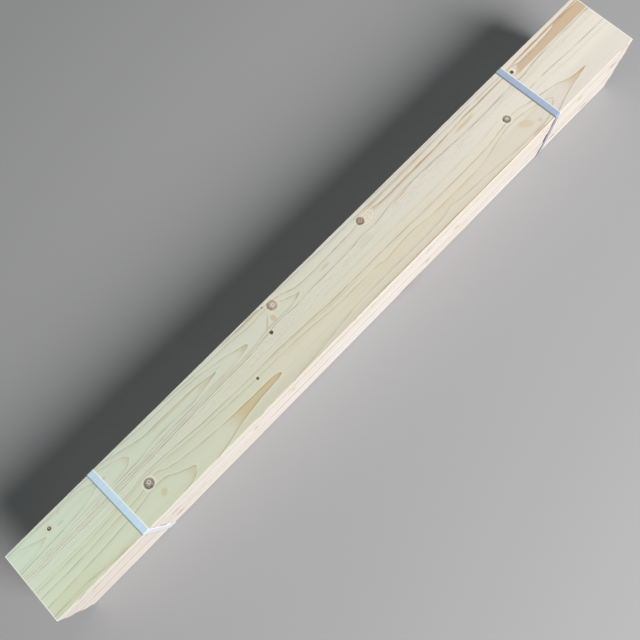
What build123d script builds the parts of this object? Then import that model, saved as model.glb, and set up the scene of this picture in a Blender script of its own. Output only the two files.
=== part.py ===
from build123d import *
import os

# A pile of planed pine boards, laid flat on each other and held by two plastic straps.
# X runs along the boards, Y across their width and Z up. The origin is on the floor, under
# the middle of the pile. The straps pass underneath, so the lowest board lies on them.

# One board, planed to the finished size of a nominal one-by-four, with its long edges eased
board_length = 910.0
board_width = 89.0
board_thickness = 19.0
arris_radius = 0.8

# How far the boards lie out of line, at their sawn ends and along their edges
end_play = 3.0
side_play = 0.8

# The boards from the floor up, with three shares each. The first two are shares of the end play,
# by which the near and far ends stand back from those of the longest board. The last is the share
# of the side play by which the board lies off the middle of the pile.
board_lay_shares = {
    "board_1": (0.4, 1.0, 0.1),
    "board_2": (0.2, 0.8, -0.5),
    "board_3": (0.0, 0.0, 0.5),
    "board_4": (0.1, 0.4, -0.3),
    "board_5": (0.5, 0.2, 0.2),
}

# One strap, whose ends lap and are welded at the back of the pile. It bends a little sharper
# than the arris under it, so it bears on the flats of the boards.
strap_width = 9.0
strap_thickness = 0.6
lap_length = 30.0
strap_bend_share = 0.6

# Where each strap crosses the pile, from the nearer end of the boards to the strap's middle,
# and how far it slants over the width of a board
near_strap_inset = 124.5
near_strap_slant = 3.0
far_strap_inset = 134.5
far_strap_slant = 1.9

# The middle of each board's section across the pile and up from the floor
board_middles = [
    (side_share * side_play, strap_thickness + course * board_thickness + board_thickness / 2)
    for course, (_, _, side_share) in enumerate(board_lay_shares.values())
]
pile_height = len(board_middles) * board_thickness
lap_thickness = 2 * strap_thickness

os.makedirs("parts", exist_ok=True)

# The boards: a planed section with rounded arrises, cut off square at both ends
for (name, (near_share, far_share, _)), middle in zip(board_lay_shares.items(), board_middles):
    near_end = near_share * end_play - board_length / 2
    far_end = board_length / 2 - far_share * end_play
    with BuildPart() as board:
        with BuildSketch(Plane.YZ.offset(near_end)):
            with Locations(middle):
                RectangleRounded(board_width, board_thickness, arris_radius)
        extrude(amount=far_end - near_end)
    board.part.label = name
    export_step(board.part, f"parts/{name}.step")

# The girth that a taut strap takes round the uneven edges of the pile, the hull of all the boards
with BuildSketch() as girth:
    with Locations(*board_middles):
        Rectangle(board_width, board_thickness)
    make_hull()
    levels = girth.vertices().group_by(Axis.Y)
    fillet(levels[0] + levels[-1], radius=arris_radius * strap_bend_share)

# The straps: a band of that girth, doubled where its ends lap, cut to width along its slant
strap_places = {
    "strap_near": (near_strap_inset - board_length / 2, near_strap_slant),
    "strap_far": (board_length / 2 - far_strap_inset, far_strap_slant),
}
for name, (place, slant) in strap_places.items():
    strap_plane = Plane(origin=(place, 0, 0), z_dir=(board_width, slant, 0))
    with BuildPart() as strap:
        with BuildSketch(Plane.YZ.offset(place)):
            offset(girth.sketch_local, amount=lap_thickness)
            with Locations((board_width / 2, strap_thickness + pile_height / 2)):
                Rectangle(board_width, lap_length, mode=Mode.INTERSECT)
            offset(girth.sketch_local, amount=strap_thickness, mode=Mode.ADD)
            add(girth.sketch_local, mode=Mode.SUBTRACT)
        extrude(amount=strap_width + slant, both=True)
        split(bisect_by=strap_plane.offset(strap_width / 2), keep=Keep.BOTTOM)
        split(bisect_by=strap_plane.offset(-strap_width / 2), keep=Keep.TOP)
    strap.part.label = name
    export_step(strap.part, f"parts/{name}.step")
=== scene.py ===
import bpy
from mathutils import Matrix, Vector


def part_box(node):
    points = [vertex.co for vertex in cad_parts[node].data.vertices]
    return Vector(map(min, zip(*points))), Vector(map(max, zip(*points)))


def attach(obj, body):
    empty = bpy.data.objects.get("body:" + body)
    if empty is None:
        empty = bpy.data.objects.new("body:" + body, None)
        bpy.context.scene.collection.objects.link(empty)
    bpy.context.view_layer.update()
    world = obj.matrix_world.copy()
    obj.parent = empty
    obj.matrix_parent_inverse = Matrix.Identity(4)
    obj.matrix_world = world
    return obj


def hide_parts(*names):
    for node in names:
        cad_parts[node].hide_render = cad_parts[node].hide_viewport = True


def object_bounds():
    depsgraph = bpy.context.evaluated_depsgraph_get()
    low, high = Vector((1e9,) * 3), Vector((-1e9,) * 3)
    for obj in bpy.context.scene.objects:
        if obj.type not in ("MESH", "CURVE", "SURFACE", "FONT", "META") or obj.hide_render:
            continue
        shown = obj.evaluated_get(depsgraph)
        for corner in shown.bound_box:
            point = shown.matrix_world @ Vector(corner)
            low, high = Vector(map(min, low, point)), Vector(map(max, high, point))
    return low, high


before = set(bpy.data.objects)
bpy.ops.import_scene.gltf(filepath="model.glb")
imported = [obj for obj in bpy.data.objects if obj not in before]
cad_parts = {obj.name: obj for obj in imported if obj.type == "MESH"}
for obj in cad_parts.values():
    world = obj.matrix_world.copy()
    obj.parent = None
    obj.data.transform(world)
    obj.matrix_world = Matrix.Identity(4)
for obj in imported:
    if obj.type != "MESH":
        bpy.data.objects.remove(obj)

import inspect
import math
import random

import bmesh
import bpy
from mathutils import Matrix, Vector, geometry, noise

cad_box = [list(corner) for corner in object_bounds()]

# The lower boards are lengths of planed pine, laid flat on each other. The planer has eased their long
# edges, handling has worn those a little, and the saw has left torn fibres round the rough ends.
arris = 0.0008
arris_steps = 3
arris_slack = 0.99
end_rim = 0.00025
end_rim_steps = 1
lengthwise_cuts = 150
wear_depth = 0.00022
wear_pitch = 90.0
dent_depth = 0.0007
dent_length = 0.006
dents_per_board = 7
fibres_per_end = 40
fibre_thickness = 0.00022
fibre_bulk = (0.5, 1.5)
fibre_reach = (0.3, 0.95)
fibre_height = (0.5, 1.6)
fibre_sway = (-0.25, 0.25)
fibre_lift = (-0.1, 0.3)
fibre_sides = 4
torn_corner = 0.016
lifted_slivers = {"board_1": ((0.055, 0.048), (0.176, 0.018))}
sliver_thickness = 0.0003
sliver_sides = 5


def eased(form, edges, reach, steps):
    """Rounds off edges of a mesh."""
    bmesh.ops.bevel(form, geom=edges, offset=reach, offset_type="OFFSET", segments=steps, profile=0.5,
                    affect="EDGES", material=-1)


def splinter(form, middle, way, length, thickness, sides):
    """Adds a thin point of torn wood, which lies along the way given."""
    turned = way.to_track_quat("Z", "Y").to_matrix().to_4x4()
    bmesh.ops.create_cone(form, cap_ends=True, segments=sides, radius1=thickness, radius2=0.0, depth=length,
                          matrix=Matrix.Translation(middle) @ turned)


def planed_board(name, seed):
    """A board's mesh in its place: eased long edges with wear and dents, and sawn ends with torn fibres."""
    chance = random.Random(seed)
    low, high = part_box(name)
    middle = (low + high) / 2
    half = (high - low) / 2
    form = bmesh.new()
    bmesh.ops.create_cube(form, size=2.0, matrix=Matrix.Translation(middle) @ Matrix.Diagonal((*half, 1.0)))

    def runs_along(edge):
        return abs(edge.verts[0].co.x - edge.verts[1].co.x) > half.x

    eased(form, [edge for edge in form.edges if runs_along(edge)], arris, arris_steps)
    eased(form, [edge for edge in form.edges if not runs_along(edge)], end_rim, end_rim_steps)
    bmesh.ops.subdivide_edges(form, edges=[edge for edge in form.edges if runs_along(edge)],
                              cuts=lengthwise_cuts, use_grid_fill=True)
    dents = [(chance.uniform(low.x, high.x), chance.choice((-1, 1)), chance.choice((-1, 1)))
             for _ in range(dents_per_board)]
    for vert in form.verts:
        across, up = vert.co.y - middle.y, vert.co.z - middle.z
        if abs(across) < half.y - arris_slack * arris or abs(up) < half.z - arris_slack * arris:
            continue
        wear = wear_depth * abs(noise.noise(vert.co * wear_pitch + Vector((seed, across, up))))
        for place, back, top in dents:
            if across * back > 0 and up * top > 0:
                wear += dent_depth * math.exp(-((vert.co.x - place) / dent_length) ** 2)
        vert.co.y -= math.copysign(wear, across)
        vert.co.z -= math.copysign(wear, up)
    for end, reach in ((low.x, low.x - cad_box[0][0]), (high.x, cad_box[1][0] - high.x)):
        outward = math.copysign(1.0, end)
        for fibre in range(fibres_per_end):
            stretch = reach * chance.uniform(*fibre_reach)
            thickness = fibre_thickness * chance.uniform(*fibre_bulk)
            spread = torn_corner if fibre % 2 else high.y - low.y - 2 * arris
            middle_of_fibre = Vector((end + outward * (stretch / 2 - thickness),
                                      low.y + arris + spread * chance.random(),
                                      low.z + arris * chance.uniform(*fibre_height)))
            way = Vector((outward, chance.uniform(*fibre_sway), chance.uniform(*fibre_lift)))
            splinter(form, middle_of_fibre, way, stretch + thickness, thickness, fibre_sides)
    for start, run in lifted_slivers.get(name, ()):
        root = Vector((start, low.y, low.z + 2 * arris))
        tip = Vector((start + run, cad_box[0][1] + sliver_thickness, low.z + arris))
        splinter(form, (root + tip) / 2, tip - root, (tip - root).length, sliver_thickness, sliver_sides)
    return form


def object_of(form, name, mesh_name):
    """Makes an object of a finished mesh."""
    mesh = bpy.data.meshes.new(mesh_name)
    form.to_mesh(mesh)
    form.free()
    made = bpy.data.objects.new(name, mesh)
    bpy.context.scene.collection.objects.link(made)
    return made


def place_piece(name, form, body, slot):
    """Makes a piece of a mesh, set to ride on its body in place of its node."""
    piece = object_of(form, name + "_dressed", name)
    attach(piece, body)
    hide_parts(name)
    return piece


class Tone:
    """A value, colour or vector in a material's nodes. Arithmetic on values adds Math nodes."""

    def __init__(self, tree, socket=None):
        self.tree = tree
        self.socket = socket

    def node(self, kind, settings, sockets, output=0):
        """Adds a node, sets it up, then fills its sockets with values or links."""
        made = self.tree.nodes.new(kind)
        for name, value in settings.items():
            if name == "points":
                trace = made.mapping.curves[0].points
                trace[0].location, trace[1].location = value[0], value[1]
                for spot in value[2:]:
                    trace.new(*spot)
                for spot in trace:
                    spot.handle_type = "AUTO_CLAMPED"
                made.mapping.extend = "HORIZONTAL"
                made.mapping.update()
            elif name == "stops":
                ramp = made.color_ramp.elements
                ramp[0].position, ramp[0].color = value[0]
                ramp[1].position, ramp[1].color = value[-1]
                for position, colour in value[1:-1]:
                    ramp.new(position).color = colour
            else:
                setattr(made, name, value)
        for name, value in sockets.items():
            if isinstance(value, Tone):
                self.tree.links.new(value.socket, made.inputs[name])
            else:
                made.inputs[name].default_value = value
        return Tone(self.tree, made.outputs[output]) if made.outputs else None

    def output(self, name):
        """Another output of the same node."""
        return Tone(self.tree, self.socket.node.outputs[name])

    def use(self, group, **values):
        """Adds a use of a node group."""
        return self.node("ShaderNodeGroup", {"node_tree": group}, values)

    def math(self, operation, *values):
        return self.node("ShaderNodeMath", {"operation": operation}, dict(enumerate(values)))

    def __add__(self, value):
        return self.math("ADD", self, value)

    __radd__ = __add__

    def __sub__(self, value):
        return self.math("SUBTRACT", self, value)

    def __rsub__(self, value):
        return self.math("SUBTRACT", value, self)

    def __mul__(self, value):
        return self.math("MULTIPLY", self, value)

    __rmul__ = __mul__

    def __truediv__(self, value):
        return self.math("DIVIDE", self, value)

    def __rtruediv__(self, value):
        return self.math("DIVIDE", value, self)

    def __pow__(self, value):
        return self.math("POWER", self, value)

    def blunt(self, value, reach):
        """The lesser of two values, rounded where they come within reach of each other."""
        return self.math("SMOOTH_MIN", self, value, reach)

    def most(self, value):
        return self.math("MAXIMUM", self, value)

    def far(self):
        """This value without its sign."""
        return self.math("ABSOLUTE", self)

    def apart(self, value):
        """The distance made up of this and another value at right angles to it."""
        return self.math("SQRT", self * self + value * value)

    def rise(self, start, full):
        """A smooth step from 0 at start to 1 at full."""
        return self.node("ShaderNodeMapRange", {"interpolation_type": "SMOOTHSTEP", "clamp": False},
                         {"Value": self, "From Min": start, "From Max": full})

    def between(self, first, second, way="MIX"):
        """A colour that turns from the first into the second as this value goes from 0 to 1."""
        return self.node("ShaderNodeMix", {"data_type": "RGBA", "blend_type": way},
                         {0: self, 6: first, 7: second}, 2)

    def tinted(self, mask, colour):
        """This colour, with another laid on it where the mask is set."""
        return mask.between(self, colour)

    def shaded(self, mask, shade):
        """This colour, darkened by a shade where the mask is set."""
        return mask.between(self, shade, "MULTIPLY")

    def parts(self):
        """The three parts of this vector."""
        first = self.node("ShaderNodeSeparateXYZ", {}, {"Vector": self}, "X")
        return first, first.output("Y"), first.output("Z")

    def rest(self):
        """What this value has over a whole number."""
        return self.math("FRACT", self)

    def wave(self, pitch):
        """A wave along this value."""
        turn = self * (2.0 * math.pi / pitch)
        return turn.math("SINE", turn)

    def swing(self, reach):
        """This noise, which lies about a half, as a swing to both sides of 0."""
        return (self - 0.5) * reach

    def scatter(self, seed):
        """Noise along this value alone."""
        return self.node("ShaderNodeTexNoise", {"noise_dimensions": "1D"}, {"W": self + seed, "Scale": 1.0})

    def grain(self, run, width, seed, detail=2.0):
        """Noise at this place, drawn out along the board to the given run and width."""
        spot = self.node("ShaderNodeMapping", {}, {"Vector": self, "Location": (seed, 2.0 * seed, 3.0 * seed),
                                                   "Scale": (1.0 / run, 1.0 / width, 1.0 / width)})
        return self.node("ShaderNodeTexNoise", {}, {"Vector": spot, "Scale": 1.0, "Detail": detail})


def seen(*screen_colour):
    """A colour given as it is seen on a screen, from 0 to 255, in linear values."""
    return (*(((value / 255.0 + 0.055) / 1.055) ** 2.4 for value in screen_colour), 1.0)


millimetres = 1000.0
pink_wood = seen(218, 213, 213)
cream_wood = seen(214, 210, 207)
late_wood = (0.74, 0.63, 0.50, 1.0)
joint_shade = (0.66, 0.57, 0.48, 1.0)
joint_strength = 0.6
top_arris_strength = 0.3
fibre_shade = (0.93, 0.90, 0.86, 1.0)
streak_shade = (0.90, 0.86, 0.79, 1.0)
resin_shade = (0.74, 0.60, 0.45, 1.0)
end_shade = (1.0, 0.95, 0.87, 1.0)
torn_wood = seen(246, 240, 230)
mark_wood = seen(196, 176, 156)
knot_bark = seen(66, 58, 50)
pile_top = cad_box[1][2] * millimetres

# The grains of the wood: their run along the board, their width, their own seed and, for some, their detail
log_bend_grain = (190.0, 60.0, 0.0)
log_sway_grain = (240.0, 60.0, 3.1)
ring_grain = (45.0, 5.0, 1.3)
fibre_grain = (30.0, 0.45, 5.0, 3.0)
streak_grain = (210.0, 3.6, 7.0)
resin_grain = (7.0, 0.5, 9.0, 1.0)
sawn_grain = (3.0, 0.8, 11.0)

# How far the log bends and its rings waver, and how much their gaps change from year to year
log_bend = 9.0
log_sway = 7.0
ring_waver = 1.1
gap_pitch = 0.45
gap_change = 1.6
vigour_pitch = 0.73

# Where in a year the dark late wood starts and stops, how strong it is, and how much stronger at sawn ends
late_start = (0.38, 0.93)
late_power = 1.6
late_stop = (1.0, 0.95)
late_vigour = (0.25, 0.75)
late_strength = 0.60
late_end_gain = 0.25

# How high the grain of the streaks, fibres and resin is where they start to show and where they are full
streak_share = (0.42, 0.66)
fibre_share = (0.40, 0.75)
resin_share = (0.70, 0.80)
resin_strength = 0.45

# How far from the board's ends, joints, top and near side a change starts and is full, in millimetres
end_cut_start, end_cut_full = 0.30, 0.12
torn_start, torn_full = 0.03, 0.20
joint_start, joint_full = 1.2, 0.2
top_start, top_full = 1.2, 2.2
side_start, side_full = 9.0, 5.0

# The small knots on the side, and the depths of the relief
mark_raggedness = 0.6
mark_spread = (2.4, 0.7)
mark_strength = 0.7
core_spread = (1.0, 0.5)
core_strength = 0.9
core_depth = 0.8
late_depth = 0.25
fibre_depth = 0.5
saw_pitch = 1.5
saw_tilt = (0.94, 0.34)
saw_sway = 6.0
saw_depth = 0.3
sawn_depth = 1.2


def on_piece(tone):
    """The place on a piece, in millimetres."""
    return tone.node("ShaderNodeMapping", {}, {
        "Vector": tone.node("ShaderNodeTexCoord", {}, {}, "Object"), "Scale": (millimetres,) * 3})


def pine(name, board, early_wood, pith, gap, lean, seed, marks):
    """Starts a board's material: wood of a log that grew round the pith, with fibres, resin and small knots.

    The pith is given from the board's middle, and the growth rings' gap, in millimetres."""
    low, high = (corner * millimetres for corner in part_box(board))
    middle = (low + high) / 2
    half = (high - low) / 2
    paint = bpy.data.materials.new(name)
    paint.use_nodes = True
    wood = Tone(paint.node_tree)
    place = on_piece(wood)
    x, y, z = place.parts()

    def grown(run, width, own_seed, detail=2.0):
        return place.grain(run, width, seed + own_seed, detail)

    bend = grown(*log_bend_grain)
    across = y - (middle.y + pith[0]) + x * lean[0] + bend.swing(log_bend)
    up = z - (middle.z + pith[1]) + x * lean[1] + grown(*log_sway_grain).swing(log_sway)
    radius = across.apart(up) + grown(*ring_grain).swing(ring_waver)
    growth = radius / gap
    growth = growth + (growth * gap_pitch).scatter(seed).swing(gap_change)
    year = growth.rest()
    vigour = (growth.math("FLOOR", growth) * vigour_pitch).scatter(seed)
    late = year.rise(*late_start) ** late_power * year.rise(*late_stop) * vigour.rise(*late_vigour)

    fibres = grown(*fibre_grain)
    from_middle = (x - middle.x).far()
    end_cut = from_middle.rise(half.x - end_cut_start, half.x - end_cut_full)
    colour = (late * (late_strength + late_end_gain * end_cut)).between(early_wood, late_wood, "MULTIPLY")
    colour = colour.shaded(grown(*streak_grain).rise(*streak_share), streak_shade)
    colour = colour.shaded(fibres.rise(*fibre_share), fibre_shade)
    colour = colour.shaded(grown(*resin_grain).rise(*resin_share) * resin_strength, resin_shade)
    # Painted shade, with some dust, darkens the eased edges where the boards meet, and more weakly the top board's
    # upper edges
    in_joint = (z - middle.z).far().rise(half.z - joint_start, half.z - joint_full)
    below_top = z.rise(pile_top - top_start, pile_top - top_full)
    shading = top_arris_strength + below_top * (joint_strength - top_arris_strength)
    colour = colour.shaded(in_joint * shading, joint_shade)
    relief = late * late_depth + fibres * fibre_depth
    on_side = y.rise(low.y + side_start, low.y + side_full)
    for mark_x, mark_z, run, width in marks:
        spread = ((x - mark_x) / run).apart((z - mark_z) / width) + fibres.swing(mark_raggedness)
        core = spread.rise(*core_spread) * on_side
        colour = colour.tinted(spread.rise(*mark_spread) * on_side * mark_strength, mark_wood)
        colour = colour.tinted(core * core_strength, knot_bark)
        relief = relief - core * core_depth
    colour = colour.shaded(end_cut, end_shade)
    colour = colour.tinted(from_middle.rise(half.x + torn_start, half.x + torn_full), torn_wood)
    saw = (y * saw_tilt[0] + z * saw_tilt[1] + bend.swing(saw_sway)).wave(saw_pitch)
    relief = relief + end_cut * (saw * saw_depth + grown(*sawn_grain) * sawn_depth)
    return paint, place, colour, relief, late, end_cut


def feed(shader, tones):
    """Links tones to the sockets of a shader."""
    for socket, tone in tones.items():
        tone.tree.links.new(tone.socket, shader.inputs[socket])


wood_sheen = 0.35
face_roughness = 0.62
late_smoothness = 0.08
end_roughness = 0.25
relief_strength = 0.55
relief_depth = 0.00009


def finish_pine(paint, colour, relief, late, end_cut):
    """Ends a board's material: planed faces with a faint sheen, and dull sawn ends."""
    gloss = paint.node_tree.nodes["Principled BSDF"]
    gloss.inputs["Specular IOR Level"].default_value = wood_sheen
    feed(gloss, {
        "Base Color": colour,
        "Roughness": face_roughness - late * late_smoothness + end_cut * end_roughness,
        "Normal": relief.node("ShaderNodeBump", {}, {
            "Strength": relief_strength, "Distance": relief_depth, "Height": relief}),
    })


# The log of each lower board: its colour, its pith, ring gap and lean, its seed, then the small knots on the
# board's side, by place, half length and half width
lower_logs = {
    "board_1": (pink_wood, (14.0, -34.0), 2.6, (0.012, 0.020), 11.0,
                ((404.0, 14.0, 8.0, 1.7), (82.0, 2.6, 24.0, 1.0))),
    "board_2": (cream_wood, (-26.0, 30.0), 3.1, (-0.015, 0.012), 23.0,
                ((-305.0, 31.0, 6.0, 2.0), (108.0, 34.0, 5.0, 1.8), (340.0, 23.0, 6.0, 1.8))),
    "board_3": (pink_wood, (8.0, -22.0), 2.2, (0.010, -0.016), 37.0,
                ((-302.0, 54.0, 7.0, 2.0), (158.0, 48.0, 5.0, 1.8))),
    "board_4": (cream_wood, (-12.0, 41.0), 2.9, (0.018, 0.008), 53.0,
                ((-175.0, 64.0, 4.0, 1.6), (-116.0, 67.0, 4.0, 1.5), (371.0, 71.0, 6.0, 1.6),
                 (431.0, 70.0, 7.0, 2.4))),
}
for board, (early_wood, pith, gap, lean, seed, marks) in lower_logs.items():
    piece = place_piece(board, planed_board(board, seed), "root", "pine")
    paint, _, colour, relief, late, end_cut = pine("pine_of_" + board, board, early_wood, pith, gap, lean, seed,
                                                   marks)
    finish_pine(paint, colour, relief, late, end_cut)
    piece.data.materials.append(paint)

# The top board is the same planed pine. Its broad face shows the rings as pointed arches that run out
# along the board, with fine even grain between them, dark knots, and a salmon streak at the far end.
top_reach = 460.0
top_half = 46.0
top_width = 2.0 * top_half
# The face's colour along the board is partly the wood's own tone and partly a painted cast of light: cool green at
# the near end, warmer at the far end
top_wood = ((0.0, seen(218, 235, 215)), (0.22, seen(213, 221, 204)), (0.42, seen(219, 220, 204)),
            (0.66, seen(226, 223, 211)), (1.0, seen(240, 234, 223)))
low_side_shade = (1.0, 0.965, 0.91, 1.0)
low_edge_shade = (0.93, 0.92, 0.93, 1.0)
near_line_shade = (0.55, 0.53, 0.44, 1.0)
far_line_shade = (0.40, 0.33, 0.27, 1.0)
fill_shade = (0.91, 0.79, 0.63, 1.0)
hatch_shade = (0.77, 0.77, 0.73, 1.0)
rust_shade = (0.88, 0.63, 0.46, 1.0)
grey_shade = (0.70, 0.69, 0.66, 1.0)
strap_dirt = (0.42, 0.45, 0.45, 1.0)
pale_wood = seen(244, 238, 226)
worn_edge = seen(250, 248, 240)
salmon_wood = seen(212, 186, 156)
top_marks = ((13.0, 83.0, 4.0, 0.8), (296.0, 92.0, 4.0, 0.9))
top_pith = (6.0, -48.0)
top_gap = 2.8
top_lean = (0.010, 0.015)
top_seed = 71.0
ragged_grain = (14.0, 3.0, 6.0)
waver_grain = (55.0, 14.0, 4.0)
line_raggedness = 1.1
line_waver = 1.6
line_soft = 0.8
line_edge = 0.25
glow_soft = 3.2
young_reach = 3.0

# Each arch by its upper side and its lower side along the board, past the tip where the sides cross,
# then how strong its line is, where its darker filling starts and is full, and how strong that is
top_arches = {
    "low_first": (
        ((-457, -27), (-400, -25.5), (-345, -23), (-312, -19.5), (-288, -16.5), (-266, -23), (-252, -29),
         (-245, -31.5), (-238, -36)),
        ((-457, -40), (-425, -39), (-410, -38.5), (-395, -40), (-375, -42.5), (-345, -44), (-300, -44.5),
         (-265, -43.3), (-253, -40), (-247, -35), (-245, -31.5), (-238, -27)), 0.9, -262, -250, 0.55),
    "low_second": (
        ((-457, -15), (-420, -15.5), (-380, -14.5), (-345, -13), (-318, -12.3), (-303, -10.8), (-294, -8),
         (-285, -6.5), (-272, -11), (-258, -14.5), (-235, -17.5), (-205, -20.5), (-175, -22.3), (-145, -23.2),
         (-128, -23.2), (-118, -24.2), (-111, -27.3), (-107, -32)),
        ((-230, -46), (-222, -44.3), (-205, -41), (-185, -36.5), (-165, -33.3), (-145, -31.2), (-128, -30.2),
         (-118, -29.4), (-111, -27.3), (-107, -22.5)), 1.0, -195, -168, 1.0),
    "low_third": (
        ((-457, -7.5), (-400, -7.8), (-350, -6.5), (-320, -4.5), (-294, -1.5), (-270, -3), (-250, -5), (-225, -7.5),
         (-200, -9.2), (-157, -11.2), (-100, -12), (-60, -14), (-20, -17.3), (20, -18), (48, -18), (60, -20.8),
         (75, -19.2), (100, -18), (130, -21), (155, -22), (205, -22), (235, -18), (262, -13), (278, -11.5),
         (295, -13), (310, -16), (325, -20), (336, -26), (341, -30)),
        ((-120, -46), (-110, -44.3), (-70, -41), (-30, -37), (0, -34.3), (50, -34), (100, -35), (140, -34),
         (155, -30.8), (165, -32.5), (200, -35), (240, -38), (285, -40.3), (305, -40), (322, -34), (336, -26),
         (341, -22)), 0.7, 0, 0, 0.0),
    "low_fourth": (
        ((-457, -4), (-400, -3.8), (-345, -3.3), (-310, -1), (-294, 1.5), (-270, 0.5), (-250, -1), (-225, -3.2),
         (-200, -4.8), (-157, -5.5), (-100, -6), (-50, -8), (0, -10), (50, -10), (100, -11), (155, -12), (200, -12),
         (240, -11), (262, -8.5), (278, -6), (287, -4.4), (310, -9), (330, -12.3), (352, -17.5), (370, -23.5),
         (380, -25), (392, -26), (397, -29)),
        ((-20, -46), (-10, -43.5), (50, -43), (100, -43.3), (155, -43.5), (250, -43.4), (300, -43.6), (322, -42.3),
         (340, -37.5), (358, -32.8), (375, -29.8), (392, -26), (397, -23)), 0.9, 350, 372, 1.0),
    "high_first": (
        ((-457, 39.8), (-445, 39), (-430, 34.8), (-418, 30.8), (-407, 27.8), (-402, 25)),
        ((-457, 19.5), (-440, 20.5), (-425, 22.5), (-413, 25.5), (-407, 27.8), (-402, 31)), 0.6, -425, -410, 0.35),
    "high_second": (
        ((-457, 42.3), (-420, 41.5), (-385, 40.5), (-360, 39.8), (-343, 36), (-327, 29.5), (-321, 26)),
        ((-457, 17), (-420, 18), (-395, 19.3), (-370, 21), (-350, 23.8), (-340, 26.5), (-327, 29.5), (-321, 33)),
        0.9, -345, -330, 0.4),
    "high_third": (
        ((-372, 46), (-360, 43.5), (-335, 41.5), (-318, 38), (-303, 34), (-295, 30.5), (-291, 25.7), (-287, 21)),
        ((-457, 14), (-420, 14.5), (-380, 16), (-345, 17.5), (-325, 17), (-305, 18.3), (-296, 21.5), (-291, 25.7),
         (-287, 30)), 0.7, -303, -294, 0.5),
    "high_fourth": (
        ((-325, 46), (-310, 41), (-292, 37.5), (-275, 33.5), (-262, 31.2), (-235, 31.5), (-205, 31), (-180, 28),
         (-160, 25), (-152, 21)),
        ((-457, 11.5), (-400, 12.2), (-345, 14), (-300, 14.5), (-280, 16), (-260, 18.5), (-240, 19), (-210, 18.5),
         (-190, 20), (-172, 23), (-160, 25), (-152, 29)), 0.9, -195, -175, 0.4),
    "high_fifth": (
        ((-305, 46), (-290, 43.5), (-260, 40.8), (-230, 39.5), (-200, 38.3), (-175, 35.8), (-157, 33.2), (-142, 30.3),
         (-130, 26.6), (-122, 25), (-116, 22), (-113, 17)),
        ((-457, 9.3), (-400, 9.8), (-345, 10.5), (-300, 11.5), (-250, 14), (-200, 15), (-157, 15.7), (-140, 16.2),
         (-130, 17.6), (-122, 18.8), (-116, 22), (-113, 27)), 0.8, -138, -124, 0.38),
    "high_sixth": (
        ((-240, 46), (-200, 41.8), (-170, 40.3), (-145, 39.5), (-118, 37.5), (-100, 36), (-85, 36.8), (-67, 36),
         (-55, 30), (-44, 26.5), (-34, 23), (-29, 20)),
        ((-300, 9), (-250, 11), (-200, 12.2), (-157, 13), (-125, 13.2), (-105, 15.3), (-92, 17.2), (-75, 17.8),
         (-58, 17.5), (-45, 19.5), (-34, 23), (-29, 26)), 0.8, -50, -38, 0.35),
    "high_seventh": (
        ((-150, 46), (-130, 43.8), (-100, 42), (-75, 41), (-55, 37.5), (-42, 33), (-25, 30), (0, 29.5), (30, 30.5),
         (58, 31.3), (72, 34), (86, 34.3), (100, 32.5), (120, 30.6), (160, 31), (200, 32.5), (230, 33.9), (270, 34.2),
         (316, 33.8), (328, 36.8), (338, 35.2), (350, 33.6), (363, 33.9), (387, 34.5), (404, 35.6), (411, 38),
         (457, 38)),
        ((-457, 5.5), (-300, 6.5), (-200, 9.5), (-157, 10.5), (-120, 11), (-95, 13.5), (-70, 15.3), (-50, 13.8),
         (-30, 15), (20, 15.2), (45, 16), (60, 17.8), (75, 16.3), (90, 17.3), (110, 20), (140, 21.3), (180, 21.2),
         (200, 19.7), (250, 18), (300, 19), (330, 18.5), (355, 20.8), (400, 21.8), (457, 21.5)), 1.0, 0, 0, 0.0),
}

# How blunt each arch's tip is, and the arches whose lines are faint at the near end
arch_tips = {"low_first": 5.0, "low_second": 4.0, "low_third": 3.0, "low_fourth": 1.5, "high_first": 4.0,
             "high_second": 5.0, "high_third": 5.0, "high_fourth": 3.0, "high_fifth": 4.0, "high_sixth": 3.0,
             "high_seventh": 0.5}
faint_at_near_end = ("high_third", "high_fourth", "high_fifth", "high_sixth", "high_seventh", "low_fourth")
faint_until, full_from = -390.0, -290.0
faint_strength = 0.4

# Single lines on the top face: their run, strength and softness, and whether they fade upwards or down
top_lines = (
    (((322, 1.2), (328, 1.2), (335, 1.2)), 0.9, 0.8, 1.0),
    (((348, 1), (365, 0.7), (401, -0.9), (457, -2)), 1.0, 0.8, 1.0),
    (((330, -4.5), (375, -6.5), (457, -9.5)), 0.3, 0.8, 1.0),
    (((-20, -0.5), (0, -0.8), (100, -2), (155, -3), (230, -3), (258, -0.5), (270, 0.5)), 0.3, 1.0, 1.0),
    (((-60, 46), (-50, 43.5), (0, 41.5), (50, 40.5), (85, 39.8), (120, 38.2), (150, 38), (185, 39), (235, 39.5),
      (270, 38.9), (310, 38.5), (340, 38.2), (375, 38.6), (411, 39.6), (457, 40.5)), 0.8, 1.2, -1.0),
    (((90, 43.5), (160, 42.3), (235, 42.8), (310, 42.2)), 0.6, 1.0, -1.0),
    (((165, 21.2), (200, 19.8), (250, 18.2), (300, 19.1), (330, 18.6), (355, 20.8), (400, 21.8), (457, 21.5)), 0.8,
     0.6, -1.0),
    (((-457, 42.6), (-420, 42), (-350, 42.2), (-300, 41.8)), 0.7, 1.0, -1.0),
    (((-140, 42.8), (-115, 42), (-98, 41), (-86, 42.3)), 0.9, 1.2, -1.0),
    (((-457, -42.6), (-400, -41), (-330, -43)), 0.5, 1.0, 1.0),
)
line_end_fade = 5.0

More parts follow.
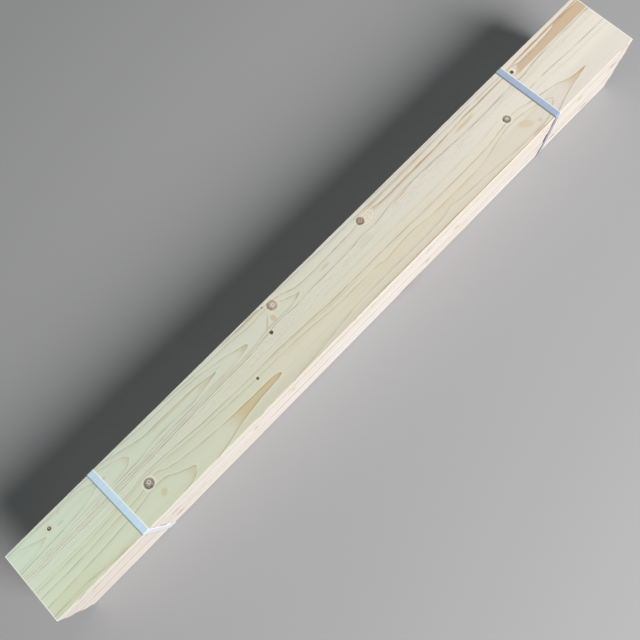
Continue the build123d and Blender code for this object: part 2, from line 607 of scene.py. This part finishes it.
# Stains and flecks: place, half length and half width, slope along the board and strength
tan_stains = (
    (-430, -34, 60, 7, 0.0, 0.25), (-215, 29.2, 48, 1.8, 0.0, 0.6), (-181, 24, 13, 2.8, 0.0, 0.45),
    (5, 23, 8, 2.0, 0.0, 0.8), (242, 27.2, 17, 2.6, 0.05, 0.95), (288, -25.0, 9, 6.0, -0.4, 0.6),
    (-288, -28.5, 5, 4.5, 0.3, 0.75), (-389, 27.8, 5, 1.8, 0.0, 0.6), (90, -27, 130, 7.5, -0.01, 0.2),
    (20, -25, 40, 6, 0.0, 0.15), (175, -27, 45, 5, -0.02, 0.22), (-76, 22.8, 3.8, 4.4, 0.0, 0.9),
    (-281, 31, 14, 5.0, -0.1, 0.2), (-383, 38.5, 4, 1.6, 0.5, 0.4), (-250, 29.5, 16, 3.0, 0.05, 0.35),
)
rust_stains = (
    (160, 31.0, 80, 1.4, 0.012, 0.9), (275, 33.4, 48, 1.2, 0.0, 0.7), (128, 19.9, 18, 1.2, 0.05, 0.7),
    (292, -41.3, 11, 1.8, 0.0, 0.6), (140, -43.2, 170, 0.9, 0.0, 0.55), (-390, -43.3, 60, 0.9, 0.0, 0.4),
    (395, 38.6, 70, 1.5, 0.01, 1.0), (-97, 42.2, 21, 1.5, 0.0, 0.7),
    (-84, 24.5, 7.5, 1.4, 1.0, 0.7), (-88.5, 20.2, 2.6, 1.8, 0.3, 0.6), (-122, 22.0, 5, 2.8, 0.0, 0.35),
    (386, -26.2, 10, 1.5, 0.0, 0.35), (90, 37.0, 24, 1.0, -0.03, 0.7), (94, 33.2, 3.0, 2.2, 0.0, 0.55),
    (150, 39.2, 60, 0.9, 0.0, 0.55), (-12, -13.2, 40, 0.7, -0.03, 0.45),
)
grey_stains = (
    (303, -33.8, 3, 2.2, 0.0, 0.5), (-326, 29, 3, 2, 0.0, 0.6),
    (-38, 22.5, 5, 1.6, 0.3, 0.4), (-160, 26.5, 7, 1.0, 0.0, 0.4),
)

# Knots on the top face: place and radius, body colour, then how strong the body, the dark bark round it, the pale
# ring in it and the dark heart are, and the way that the bark is darkest
grey_knot = seen(158, 152, 136)
brown_knot = seen(172, 152, 136)
pink_knot = seen(196, 176, 160)
dark_knot = seen(92, 78, 68)
top_knots = (
    (-401, 32, 2.5, dark_knot, 0.9, 0.6, 0.5, 0.0, 235.0),
    (-294, -10, 6.0, grey_knot, 0.9, 0.95, 0.9, 0.9, 235.0),
    (-135, -13, 1.9, dark_knot, 0.9, 0.4, 0.0, 0.0, 215.0),
    (-89, 12.7, 2.3, dark_knot, 1.0, 0.8, 0.0, 0.0, 215.0),
    (-77, 40.7, 1.1, dark_knot, 0.7, 0.4, 0.0, 0.0, 215.0),
    (-67, 34.5, 6.0, pink_knot, 0.85, 0.75, 0.7, 0.4, 170.0),
    (72, 32, 4.9, brown_knot, 0.9, 0.95, 0.0, 0.5, 205.0),
    (278, -5, 4.9, grey_knot, 0.9, 1.0, 0.7, 0.2, 200.0),
    (328, 31, 2.4, dark_knot, 0.95, 0.4, 0.0, 0.0, 215.0),
)

# Knots larger than this stand a little proud of the planed face
raised_size = 4.0

# The wood that bends round a knot: place, half length and half width, number of rings, how pale it is, and how
# strong the rings are
knot_eyes = (
    (-401, 32, 5.8, 5.4, 1.0, 0.45, 0.8), (-294, -10, 8.0, 7.4, 1.0, 0.65, 0.3), (-67, 34.5, 8.6, 8.0, 1.0, 0.4, 0.5),
    (79, 31, 13.0, 8.5, 3.0, 0.4, 1.0), (278, -5, 7.2, 6.8, 1.0, 0.4, 0.2), (329, 31, 6.8, 6.4, 1.0, 0.6, 1.0),
    (-89, 12.7, 4.6, 4.2, 1.0, 0.25, 0.3), (-135, -13, 4.0, 3.4, 1.0, 0.2, 0.2),
)

top_low, top_high = (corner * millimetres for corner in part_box("board_5"))
top_board = place_piece("board_5", planed_board("board_5", top_seed), "root", "pine")
paint, place, colour, relief, late, end_cut = pine("pine_of_top_board", "board_5", cream_wood, top_pith, top_gap,
                                                   top_lean, top_seed, top_marks)
wood = Tone(paint.node_tree)
x, y, z = place.parts()
ragged = place.grain(*ragged_grain)
flow = y + (place.grain(*waver_grain).swing(line_waver) + ragged.swing(line_raggedness))
along = (x + top_reach) / (2.0 * top_reach)
level = (flow + top_half) / top_width


def shared(work, gives):
    """A node group of a function's maths, used many times, with sockets named after the function's values."""
    group = bpy.data.node_groups.new(work.__name__, "ShaderNodeTree")
    takes = list(inspect.signature(work).parameters)
    for way, names in (("INPUT", takes), ("OUTPUT", gives)):
        for name in names:
            group.interface.new_socket(name, in_out=way, socket_type="NodeSocketFloat")
    start = Tone(group).node("NodeGroupInput", {}, {})
    start.node("NodeGroupOutput", {}, dict(zip(gives, work(*(start.output(name) for name in takes)))))
    return group


def traced(points):
    """The share of the width at which a traced line lies, all along the board."""
    shares = [((spot + top_reach) / (2.0 * top_reach), (rise + top_half) / top_width) for spot, rise in points]
    return along.node("ShaderNodeFloatCurve", {"points": shares}, {"Value": along})


def faded(within, soft):
    """Full at a line and outside it, and fading within it."""
    decay = within.most(0.0) * (-1.0 / soft)
    return decay.math("EXPONENT", decay)


def ring(upper, lower, level, tip, strength):
    """A ring between its two sides: its dark line, the tan wood within, the pale wood outside, and its inside."""
    within = (upper - level).blunt(level - lower, tip / top_width) * top_width
    inside = within.rise(-line_edge, line_edge)
    outside = within.rise(-young_reach, -line_edge) * (1.0 - inside)
    dark = inside * strength
    return dark * faded(within, line_soft), dark * faded(within, glow_soft), outside * strength, inside


def single_line(x, level, trace, soft, fades, start, stop, strength):
    """A line that starts and stops on the face, sharp on one side and fading on the other."""
    within = (level - trace) * fades * top_width
    run = x.rise(start - line_end_fade, start + line_end_fade)
    run = run * x.rise(stop + line_end_fade, stop - line_end_fade)
    return (within.rise(-line_edge, line_edge) * faded(within, soft) * run * strength,)


stain_raggedness = 0.8
stain_edge = (1.15, 0.55)


def stain(x, y, ragged, middle_x, middle_y, run, width, slope, strength):
    """A stain with ragged edges, drawn out along the grain."""
    off = x - middle_x
    spread = (off / run).apart((y - middle_y - off * slope) / width) + ragged.swing(stain_raggedness)
    return (spread.rise(*stain_edge) * strength,)


eye_raggedness = 0.3
eye_edge = (1.15, 0.9)
eye_ring_start = (0.55, 0.87)
eye_ring_stop = (1.0, 0.92)
eye_ring_edge = (1.06, 0.99)


def eye(x, y, ragged, middle_x, middle_y, run, width, rings):
    """The pale wood round a knot, and the rings in it."""
    spread = ((x - middle_x) / run).apart((y - middle_y) / width) + ragged.swing(eye_raggedness)
    turn = (spread * rings).rest()
    dark = turn.rise(*eye_ring_start) * turn.rise(*eye_ring_stop) * spread.rise(*eye_ring_edge)
    return spread.rise(*eye_edge), dark


knot_raggedness = 0.25
knot_edge = (1.1, 0.88)
bark_rim = (0.30, 0.72)
bark_evenness = 0.58
heart_shift = 0.2
pale_ring = (0.44, 0.30)
heart_edge = (0.22, 0.10)


def knot(x, y, ragged, mottle, middle_x, middle_y, size, lean_x, lean_y):
    """A knot's body, the mottled bark that is darkest on one side, the pale ring in it, and its heart."""
    across, up = (x - middle_x) / size, (y - middle_y) / size
    spread = across.apart(up) + ragged.swing(knot_raggedness)
    body = spread.rise(*knot_edge)
    darkest = bark_evenness + (across * lean_x + up * lean_y) * (1.0 - bark_evenness)
    bark = spread.rise(*bark_rim) * darkest * mottle
    core = (across + lean_x * heart_shift).apart(up + lean_y * heart_shift)
    return body, body * bark, core.rise(*pale_ring), core.rise(*heart_edge)


def patchy(grain, share, least, gain):
    """A strength that is uneven over the face."""
    return least + gain * place.grain(*grain).rise(*share)


# Uneven strengths: the grain, how high it is where the strength rises and is full, the least and the gain
line_patches = ((26.0, 4.0, 8.0), (0.3, 0.65), 0.35, 0.75)
hatch_patches = ((20.0, 2.2, 12.0), (0.3, 0.62), 0.3, 0.7)
hatch_dots = ((1.7, 1.4, 16.0, 0.0), (0.42, 0.58), 0.55, 0.65)
bark_mottle = ((2.4, 2.4, 14.0), (0.36, 0.56), 0.3, 0.7)

ring_group = shared(ring, ("line", "glow", "young", "inside"))
line_group = shared(single_line, ("line",))
stain_group = shared(stain, ("mask",))
eye_group = shared(eye, ("pale", "rings"))
knot_group = shared(knot, ("body", "bark", "pale", "heart"))

lines, glows, fills, young = (along * 0.0 for _ in range(4))
sides = {}
faint = faint_strength + (1.0 - faint_strength) * x.rise(faint_until, full_from)
for arch, (upper, lower, strength, fill_start, fill_full, fill_strength) in top_arches.items():
    sides[arch] = traced(upper), traced(lower)
    line = wood.use(ring_group, upper=sides[arch][0], lower=sides[arch][1], level=level, tip=arch_tips[arch],
                    strength=strength)
    lines = lines.most(line * faint if arch in faint_at_near_end else line)
    glows = glows.most(line.output("glow"))
    young = young.most(line.output("young"))
    if fill_strength:
        fills = fills.most(line.output("inside") * x.rise(fill_start, fill_full) * fill_strength)
for points, strength, soft, fades in top_lines:
    lines = lines.most(wood.use(line_group, x=x, level=level, trace=traced(points), soft=soft, fades=fades,
                                start=points[0][0], stop=points[-1][0], strength=strength))
lines = lines * patchy(*line_patches)


def stained(stains):
    """Where a kind of stain shows."""
    mask = along * 0.0
    for middle_x, middle_y, run, width, slope, strength in stains:
        mask = mask.most(wood.use(stain_group, x=x, y=flow, ragged=ragged, middle_x=middle_x, middle_y=middle_y,
                                  run=run, width=width, slope=slope, strength=strength))
    return mask


# The fine even grain along the middle, between two traced lines: the gap of its lines, where it starts below the
# upper and above the lower, where in a gap a line starts and stops, and the place and halves of a rippled patch
hatch_gap = 2.5
hatch_head = (0.2, 1.0)
hatch_foot = (-1.0, 5.0)
hatch_start = (0.40, 0.80)
hatch_stop = (1.0, 0.87)
ripple_x, ripple_y, ripple_run, ripple_width = 59.0, 11.0, 13.0, 6.0
ripple_edge = (1.1, 0.3)
ripple_gain = 2.0
hatch_high = traced(((-457, 16.5), (-345, 15), (-300, 13.2), (-250, 13), (-200, 12.8), (-157, 11.8), (-120, 12),
                     (-95, 13.2), (-70, 15), (-50, 13.5), (-30, 14.7), (20, 15), (45, 15.7), (60, 17.5), (75, 16),
                     (90, 17), (110, 19.7), (140, 21), (180, 20.9), (200, 19.4), (250, 17.7), (300, 18.7),
                     (330, 18.2), (355, 20.5), (400, 21.5), (457, 21.2)))
hatch_low = traced(((-457, -1.5), (-345, 0), (-300, 3), (-270, 2), (-235, -1), (-157, -2.5), (-100, -3), (-50, -1),
                    (0, 2), (100, 5), (230, 6), (278, 8), (330, 9), (457, 10)))
below = (hatch_high - level) * top_width
above = (level - hatch_low) * top_width
hatch_year = (below / hatch_gap).rest()
rippled = ((x - ripple_x) / ripple_run).apart((y - ripple_y) / ripple_width).rise(*ripple_edge)
hatch_zone = below.rise(*hatch_head) * above.rise(*hatch_foot)
hatch = hatch_zone * hatch_year.rise(*hatch_start) * hatch_year.rise(*hatch_stop)
hatch = hatch * (patchy(*hatch_patches) + ripple_gain * rippled) * patchy(*hatch_dots)

# The tones of the face: their grains, how high those are where a tone starts and is full, and their strengths
top_fibre_grain = (34.0, 0.5, 31.0, 3.0)
top_fibre_share = (0.45, 0.75)
top_fibre_strength = 0.5
top_streak_grain = (260.0, 6.0, 33.0)
top_streak_share = (0.50, 0.80)
top_streak_strength = 0.5
young_strength = 0.22
hatch_zone_strength = 0.2
glow_strength = 0.18
pale_ring_strength = 0.7
raised_depth = 0.6

# Where the face is darker towards its lower side, across the board and along it
low_side, low_side_run = (14.0, -14.0), (380.0, 220.0)
low_edge_side, low_edge_run = (-28.0, -40.0), (-220.0, -150.0)
far_edge_side, far_edge_run = (-12.0, -26.0), (180.0, 260.0)

top_fibres = place.grain(*top_fibre_grain)
top_streaks = place.grain(*top_streak_grain).rise(*top_streak_share)
# The base colour along the board, which carries the painted cast of light
top_colour = along.node("ShaderNodeValToRGB", {"stops": top_wood}, {"Fac": along}, "Color")
top_colour = top_colour.shaded(y.rise(*low_side) * x.rise(*low_side_run), low_side_shade)
low_edge = y.rise(*low_edge_side).most(y.rise(*far_edge_side) * x.rise(*far_edge_run)) * x.rise(*low_edge_run)
top_colour = top_colour.shaded(low_edge, low_edge_shade)
top_colour = top_colour.shaded(top_streaks * top_streak_strength, streak_shade)
top_colour = top_colour.tinted(young * young_strength, pale_wood)
top_colour = top_colour.tinted(hatch_zone * hatch_zone_strength, pale_wood)
top_colour = top_colour.shaded(glows * glow_strength, fill_shade)
top_colour = top_colour.shaded(top_fibres.rise(*top_fibre_share) * top_fibre_strength, fibre_shade)
top_colour = top_colour.shaded(fills.most(stained(tan_stains)), fill_shade)
top_colour = top_colour.shaded(stained(rust_stains), rust_shade)
top_colour = top_colour.shaded(stained(grey_stains), grey_shade)
top_colour = top_colour.shaded(hatch, hatch_shade)

# The salmon streak below the last arch's upper side, with a slanting near end and a pale border under it
salmon_middle, salmon_slope, salmon_raggedness = 27.0, 1.4, 6.0
salmon_head, salmon_foot, salmon_start = (0.003, 0.010), (23.4, 24.4), (329.0, 332.0)
salmon_strength = 0.95
border_foot, border_head, border_start = (21.6, 22.6), (24.6, 23.6), (330.0, 345.0)
border_strength = 0.8
border = flow.rise(*border_foot) * flow.rise(*border_head) * x.rise(*border_start)
top_colour = top_colour.tinted(border * border_strength, pale_wood)
from_start = x - (flow - salmon_middle) * salmon_slope + ragged.swing(salmon_raggedness)
salmon = (sides["high_seventh"][0] - level).rise(*salmon_head) * flow.rise(*salmon_foot)
salmon = salmon * from_start.rise(*salmon_start)
top_colour = top_colour.tinted(salmon * salmon_strength, salmon_wood)
top_colour = top_colour.shaded(lines, along.between(near_line_shade, far_line_shade))
top_relief = top_fibres * fibre_depth
for middle_x, middle_y, run, width, rings, pale, dark in knot_eyes:
    round_knot = wood.use(eye_group, x=x, y=y, ragged=ragged, middle_x=middle_x, middle_y=middle_y, run=run,
                          width=width, rings=rings)
    top_colour = top_colour.tinted(round_knot * pale, pale_wood)
    top_colour = top_colour.shaded(round_knot.output("rings") * dark, fill_shade)
mottle = patchy(*bark_mottle)
for middle_x, middle_y, size, body, body_share, bark, pale, heart, way in top_knots:
    grown = wood.use(knot_group, x=x, y=y, ragged=ragged, mottle=mottle, middle_x=middle_x, middle_y=middle_y,
                     size=size, lean_x=math.cos(math.radians(way)), lean_y=math.sin(math.radians(way)))
    top_colour = top_colour.tinted(grown * body_share, body)
    top_colour = top_colour.tinted(grown.output("bark") * bark, knot_bark)
    top_colour = top_colour.tinted(grown.output("pale") * (pale_ring_strength * pale), pale_wood)
    top_colour = top_colour.tinted(grown.output("heart") * heart, knot_bark)
    if size > raised_size:
        top_relief = top_relief + grown * raised_depth

# The far edge and the ends, pale from wear and from a painted highlight, the painted shade on the near arris, and the
# top face itself: how far in they start and are full
edge_wear_start, edge_wear_full = 1.6, 0.6
end_wear_start, end_wear_full = 1.8, 0.8
wear_strength = 0.9
near_arris_start, near_arris_full = 0.9, 0.3
face_start, face_full = 0.7, 0.4
# A painted highlight, together with pale worn wood, lightens the far edge and both ends of the top face
edge_wear = y.rise(top_high.y - edge_wear_start, top_high.y - edge_wear_full)
far_end_wear = x.rise(top_high.x - end_wear_start, top_high.x - end_wear_full)
near_end_wear = x.rise(top_low.x + end_wear_start, top_low.x + end_wear_full)
top_colour = top_colour.tinted(edge_wear.most(far_end_wear.most(near_end_wear)) * wear_strength, worn_edge)
# Painted shade darkens the near arris of the top face
near_arris = y.rise(top_low.y + near_arris_start, top_low.y + near_arris_full)
top_colour = top_colour.shaded(near_arris * top_arris_strength, joint_shade)

# A painted shadow darkens the top board along one edge of each strap, where the strap stands a little off the face.
strap_width = 0.009
strap_slants = {"strap_near": 0.0030, "strap_far": 0.0019}
pile_width = 0.089
dirt_start = (-1.4, -0.4)
dirt_stop = (1.0, 0.4)
dirt_strength = 0.85


def from_strap(x, y, strap):
    """How far a place lies along the board from the middle of a strap."""
    strap_low, strap_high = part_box(strap)
    return x - millimetres * (strap_low.x + strap_high.x) / 2 + y * (strap_slants[strap] / pile_width)


# The painted shadow beside each strap, on the top face
for strap in strap_slants:
    from_edge = from_strap(x, y, strap) + millimetres * strap_width / 2
    dirt = from_edge.rise(*dirt_start) * from_edge.rise(*dirt_stop)
    top_colour = top_colour.shaded(dirt * dirt_strength, strap_dirt)
on_top = z.rise(top_high.z - face_start, top_high.z - face_full) * (1.0 - end_cut)
colour = colour.tinted(on_top, top_colour)
relief = relief + on_top * (top_relief - relief)
late = late + on_top * (lines - late)
finish_pine(paint, colour, relief, late, end_cut)
top_board.data.materials.append(paint)

# The straps are narrow bands of pale blue plastic, drawn tight round the pile and bent sharply over its
# edges. Each is closed at the back, where its ends lap and are welded together.
strap_thickness = 0.0006
strap_edge = 0.00012
strap_edge_steps = 2
strap_bend = 0.0007
bend_steps = 4
sharp_bend = 1.0
lap_length = 0.030

corners = []
for board in (*lower_logs, "board_5"):
    low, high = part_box(board)
    corners += [Vector((side, level)) for side in (low.y, high.y) for level in (low.z, high.z)]
girth = [corners[index] for index in geometry.convex_hull_2d(corners)]


def turned_edges(form):
    """The edges at which two faces of a strap meet sharply."""
    return [edge for edge in form.edges if len(edge.link_faces) == 2 and edge.calc_face_angle() > sharp_bend]


for strap, slant in strap_slants.items():
    strap_low, strap_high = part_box(strap)
    centre = (strap_low.x + strap_high.x) / 2
    form = bmesh.new()
    near_edge = centre - strap_width / 2
    loop = [form.verts.new((near_edge - slant * corner.x / pile_width, *corner)) for corner in girth]
    edges = [form.edges.new((first, second)) for first, second in zip(loop, loop[1:] + loop[:1])]
    band = bmesh.ops.extrude_edge_only(form, edges=edges)
    drawn = [part for part in band["geom"] if isinstance(part, bmesh.types.BMVert)]
    bmesh.ops.translate(form, vec=(strap_width, 0.0, 0.0), verts=drawn)
    bmesh.ops.recalc_face_normals(form, faces=form.faces)
    eased(form, turned_edges(form), strap_bend, bend_steps)
    bmesh.ops.solidify(form, geom=form.faces, thickness=-strap_thickness)
    bmesh.ops.recalc_face_normals(form, faces=form.faces)
    eased(form, turned_edges(form), strap_edge, strap_edge_steps)
    lap_middle = Vector((centre - slant / 2, strap_high.y - strap_thickness / 2,
                         (strap_low.z + strap_high.z) / 2))
    lap = bmesh.ops.create_cube(form, size=1.0, matrix=Matrix.Translation(lap_middle)
                                @ Matrix.Diagonal((strap_width, strap_thickness, lap_length, 1.0)))
    eased(form, list({edge for vert in lap["verts"] for edge in vert.link_edges}), strap_edge, strap_edge_steps)
    place_piece(strap, form, "root", "strap")

# The plastic: its colours, with its sides whiter near as a painted sheen and darker far as painted shade, how far
# from a strap's edges the painted highlight and painted shadow start and are full, scuffs, emboss and weld
near_strap_colour = seen(205, 231, 249)
far_strap_colour = seen(172, 189, 214)
near_side_colour = seen(212, 212, 222)
far_side_colour = seen(164, 156, 168)
pale_margin = seen(246, 250, 244)
dark_margin = (0.50, 0.54, 0.54, 1.0)
scuff_shade = (0.90, 0.92, 0.95, 1.0)
colour_run = (-300.0, 300.0)
side_face = (-44.4, -45.2)
pale_start, pale_full = 1.5, 0.8
pale_strength = 0.85
dark_start, dark_full = 0.9, 0.4
near_start, near_full = 2.0, 1.0
scuff_grain = (9.0, 2.0, 2.0, 3.0)
scuff_share = (0.35, 0.75)
scuff_roughness = 0.2
strap_roughness = 0.38
emboss_pitch = 1.3
emboss_strength = 0.5
emboss_depth = 0.00008
weld_pitch = 1.1
weld_half = 9.0
weld_fade = 1.0
weld_depth = 2.0
lap_face = (45.4, 45.6)

strap_paint = bpy.data.materials.new("strap_plastic")
strap_paint.use_nodes = True
plastic = Tone(strap_paint.node_tree)
place = on_piece(plastic)
x, y, z = place.parts()
emboss = (x + y + z).wave(emboss_pitch) * (x - y - z).wave(emboss_pitch)
weld = (z - pile_top / 2).far().rise(weld_half, weld_half - weld_fade) * y.rise(*lap_face)
emboss = emboss + weld * (z.wave(weld_pitch) * weld_depth - emboss)
scuffs = place.grain(*scuff_grain)
at_far_end = x.rise(*colour_run)
strap_tone = at_far_end.between(near_strap_colour, far_strap_colour)
# On the straps' sides a painted sheen, whiter than the plastic, at the near strap, turning into painted shade at the
# far strap
side_tone = at_far_end.between(near_side_colour, far_side_colour)
strap_tone = strap_tone.tinted(y.rise(*side_face), side_tone)
strap_tone = strap_tone.shaded(scuffs.rise(*scuff_share), scuff_shade)
half_width = millimetres * strap_width / 2
# A painted highlight along one edge of each strap and a painted shadow along the other, for its lit and its shaded
# edge
for strap in strap_slants:
    off = from_strap(x, y, strap)
    here = off.far().rise(half_width + near_start, half_width + near_full)
    pale = here * off.rise(half_width - pale_start, half_width - pale_full)
    strap_tone = strap_tone.tinted(pale * pale_strength, pale_margin)
    strap_tone = strap_tone.shaded(here * off.rise(dark_start - half_width, dark_full - half_width), dark_margin)
feed(strap_paint.node_tree.nodes["Principled BSDF"], {
    "Base Color": strap_tone,
    "Roughness": strap_roughness + scuffs * scuff_roughness,
    "Normal": plastic.node("ShaderNodeBump", {}, {
        "Strength": emboss_strength, "Distance": emboss_depth, "Height": emboss}),
})
for strap in strap_slants:
    bpy.data.objects[strap + "_dressed"].data.materials.append(strap_paint)

# The floor is a plain pale sheet, matt and even. The stack lies loose on it, on the undersides of its straps,
# and casts its soft shadow on it.
floor_reach = 1.3
floor_colour = seen(170, 170, 172)
floor_roughness = 1.0
floor_sheen = 0.0

floor_form = bmesh.new()
bmesh.ops.create_grid(floor_form, x_segments=1, y_segments=1, size=floor_reach)
floor = object_of(floor_form, "floor", "floor")
floor_paint = bpy.data.materials.new("floor_paint")
floor_paint.use_nodes = True
floor_finish = {"Base Color": floor_colour, "Roughness": floor_roughness, "Specular IOR Level": floor_sheen}
for socket, value in floor_finish.items():
    floor_paint.node_tree.nodes["Principled BSDF"].inputs[socket].default_value = value
floor.data.materials.append(floor_paint)

# The camera looks almost straight down from beside the stack's middle, as someone does who stands over it.
# Its place and lens are fitted to the six corners of the stack that can be seen.
camera_place = Vector((-0.1197, -0.1667, 0.7891))
camera_aim = Vector((-0.0311, 0.0045, 0.0))
camera_roll = -18.4
camera_lens = 36.46
camera_sensor = 36.0

camera_data = bpy.data.cameras.new("camera")
camera_data.lens = camera_lens
camera_data.sensor_width = camera_sensor
camera = bpy.data.objects.new("camera", camera_data)
bpy.context.scene.collection.objects.link(camera)
camera.matrix_world = (Matrix.Translation(camera_place)
                       @ (camera_aim - camera_place).to_track_quat("-Z", "Y").to_matrix().to_4x4()
                       @ Matrix.Rotation(math.radians(camera_roll), 4, "Z"))
bpy.context.scene.camera = camera

# Soft studio light: a broad warm key lamp on the side that faces the camera, and an even cool sky. Low round
# the back and the ends of the stack the sky is brighter, as from a pale studio wall. Seen straight on or in a
# sheen, it is an even pale backdrop.
key_place = Vector((0.45, -2.30, 1.66))
key_size = 1.9
key_power = 127.0
key_colour = (1.0, 0.98, 0.965)
sky_colour = (0.87, 1.0, 0.985, 1.0)
sky_strength = 0.10
wall_colour = (1.0, 1.0, 1.0, 1.0)
wall_strength = 1.8
wall_back = (-0.75, 0.3)
wall_height = (0.30, 0.15)
backdrop_strength = 0.40

key_data = bpy.data.lights.new("key", "AREA")
key_data.shape = "DISK"
key_data.size = key_size
key_data.energy = key_power
key_data.color = key_colour
key = bpy.data.objects.new("key", key_data)
bpy.context.scene.collection.objects.link(key)
key.location = key_place
key.rotation_euler = (-key_place).to_track_quat("-Z", "Y").to_euler()
world = bpy.data.worlds.new("studio")
world.use_nodes = True
sky = Tone(world.node_tree)
_, toward_back, upward = sky.node("ShaderNodeTexCoord", {}, {}, "Generated").parts()
wall = toward_back.rise(*wall_back) * upward.rise(*wall_height)
backdrop = sky.node("ShaderNodeLightPath", {}, {}, "Is Camera Ray")
backdrop = backdrop.most(backdrop.output("Is Glossy Ray")).most(backdrop.output("Is Transmission Ray"))
light = sky_strength + wall * (wall_strength - sky_strength)
feed(world.node_tree.nodes["Background"], {
    "Color": wall.most(backdrop).between(sky_colour, wall_colour),
    "Strength": light + backdrop * (backdrop_strength - light),
})
bpy.context.scene.world = world
bpy.context.scene.view_settings.view_transform = "Standard"
